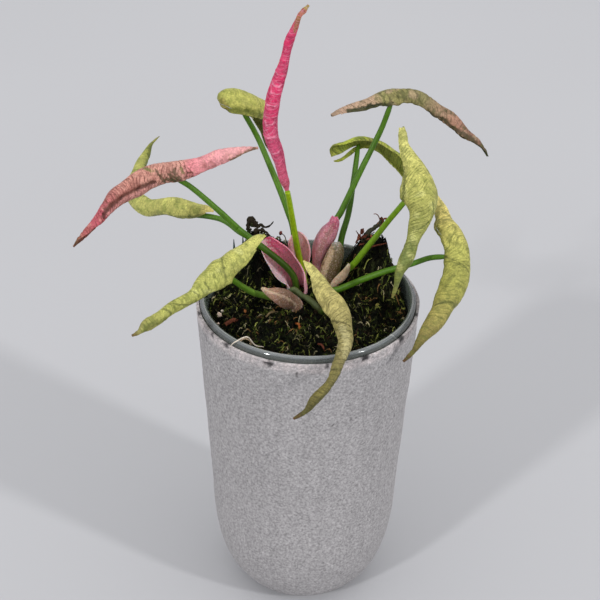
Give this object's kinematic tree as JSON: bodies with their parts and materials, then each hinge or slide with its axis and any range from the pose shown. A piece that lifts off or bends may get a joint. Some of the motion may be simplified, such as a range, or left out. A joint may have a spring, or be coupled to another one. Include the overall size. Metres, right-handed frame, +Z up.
{
  "type": "potted arrowhead plant",
  "caption": "Arrowhead plant with curled pink and yellow-green leaves on long stems, growing in moss in a tall round-bottomed glass pot with a stone coat.",
  "frame": {"origin": "centre of the flat spot that the pot stands on", "axes": "+Z up along the pot's axis, -Y towards the plant's front, +X to the right seen from the front"},
  "size_m": [0.1603, 0.1556, 0.2629],
  "materials": {
    "leaf_pink": "satin",
    "leaf_green": "satin",
    "leaf_olive": "satin",
    "petiole": "satin",
    "sheath_pink": "satin",
    "sheath_dry": "matte",
    "moss_soil": "matte",
    "pot_glass": "gloss",
    "pot_stone": "matte"
  },
  "bodies": {
    "root": {"leaf_pink_left": "leaf_pink", "leaf_pink_spike": "leaf_pink", "leaf_pale_behind": "leaf_green", "leaf_green_back": "leaf_green", "leaf_front_left": "leaf_green", "leaf_green_behind": "leaf_green", "leaf_green_right": "leaf_green", "leaf_green_far_right": "leaf_green", "leaf_olive_right": "leaf_olive", "leaf_olive_front": "leaf_olive", "petiole_pink_left": "petiole", "petiole_pale_behind": "petiole", "petiole_green_back": "petiole", "petiole_front_left": "petiole", "petiole_pink_spike": "petiole", "petiole_olive_right": "petiole", "petiole_green_behind": "petiole", "petiole_green_right": "petiole", "petiole_green_far_right": "petiole", "petiole_olive_front": "petiole", "sheath_pink_left": "sheath_pink", "sheath_rose_back": "sheath_pink", "sheath_pink_tall": "sheath_pink", "young_leaf_mauve": "sheath_dry", "sheath_khaki": "sheath_dry", "sheath_beige_small": "sheath_dry", "soil_moss": "moss_soil", "pot_glass": "pot_glass", "pot_stone_coat": "pot_stone"}
  },
  "joints": []
}
